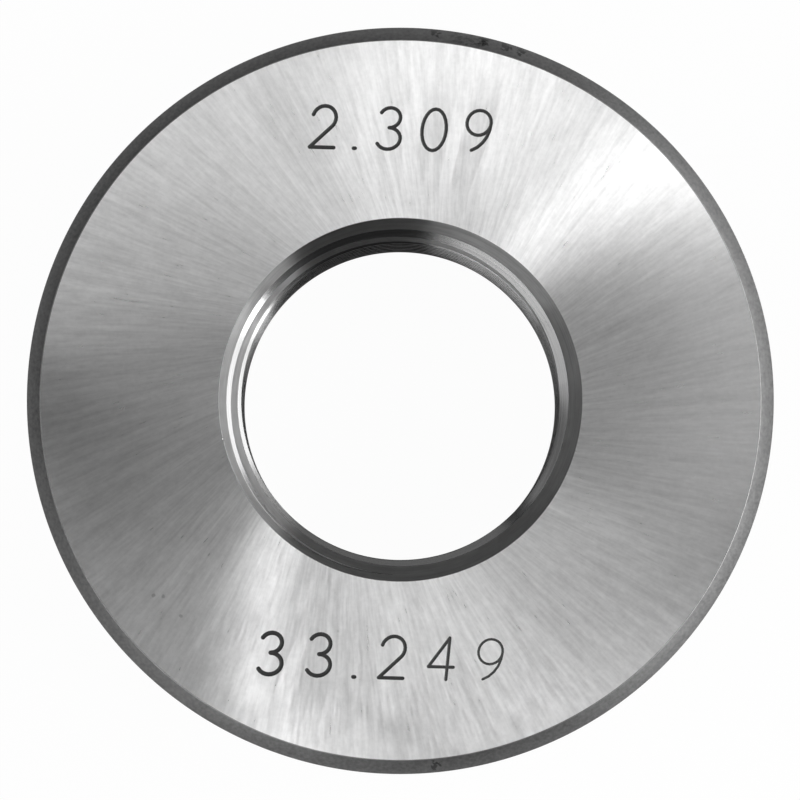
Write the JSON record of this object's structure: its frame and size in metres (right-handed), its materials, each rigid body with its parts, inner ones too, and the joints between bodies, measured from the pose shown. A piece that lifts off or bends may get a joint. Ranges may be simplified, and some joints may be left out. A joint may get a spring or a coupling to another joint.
{
  "type": "thread ring gauge",
  "caption": "Solid hardened steel ring with chamfered rims and a countersunk, internally threaded bore, run over an external pipe thread to check it.",
  "frame": {"origin": "centre of the back face", "axes": "+Z along the bore axis, from the back face to the marked front face; +Y towards the top of the marks on the front face"},
  "size_m": [0.071, 0.071, 0.024],
  "materials": {
    "gauge_steel": "faces ground with fine radial scratches, rim chamfers matt turned, thread flanks bright"
  },
  "bodies": {
    "root": {"gauge_ring": "gauge_steel"}
  },
  "joints": []
}
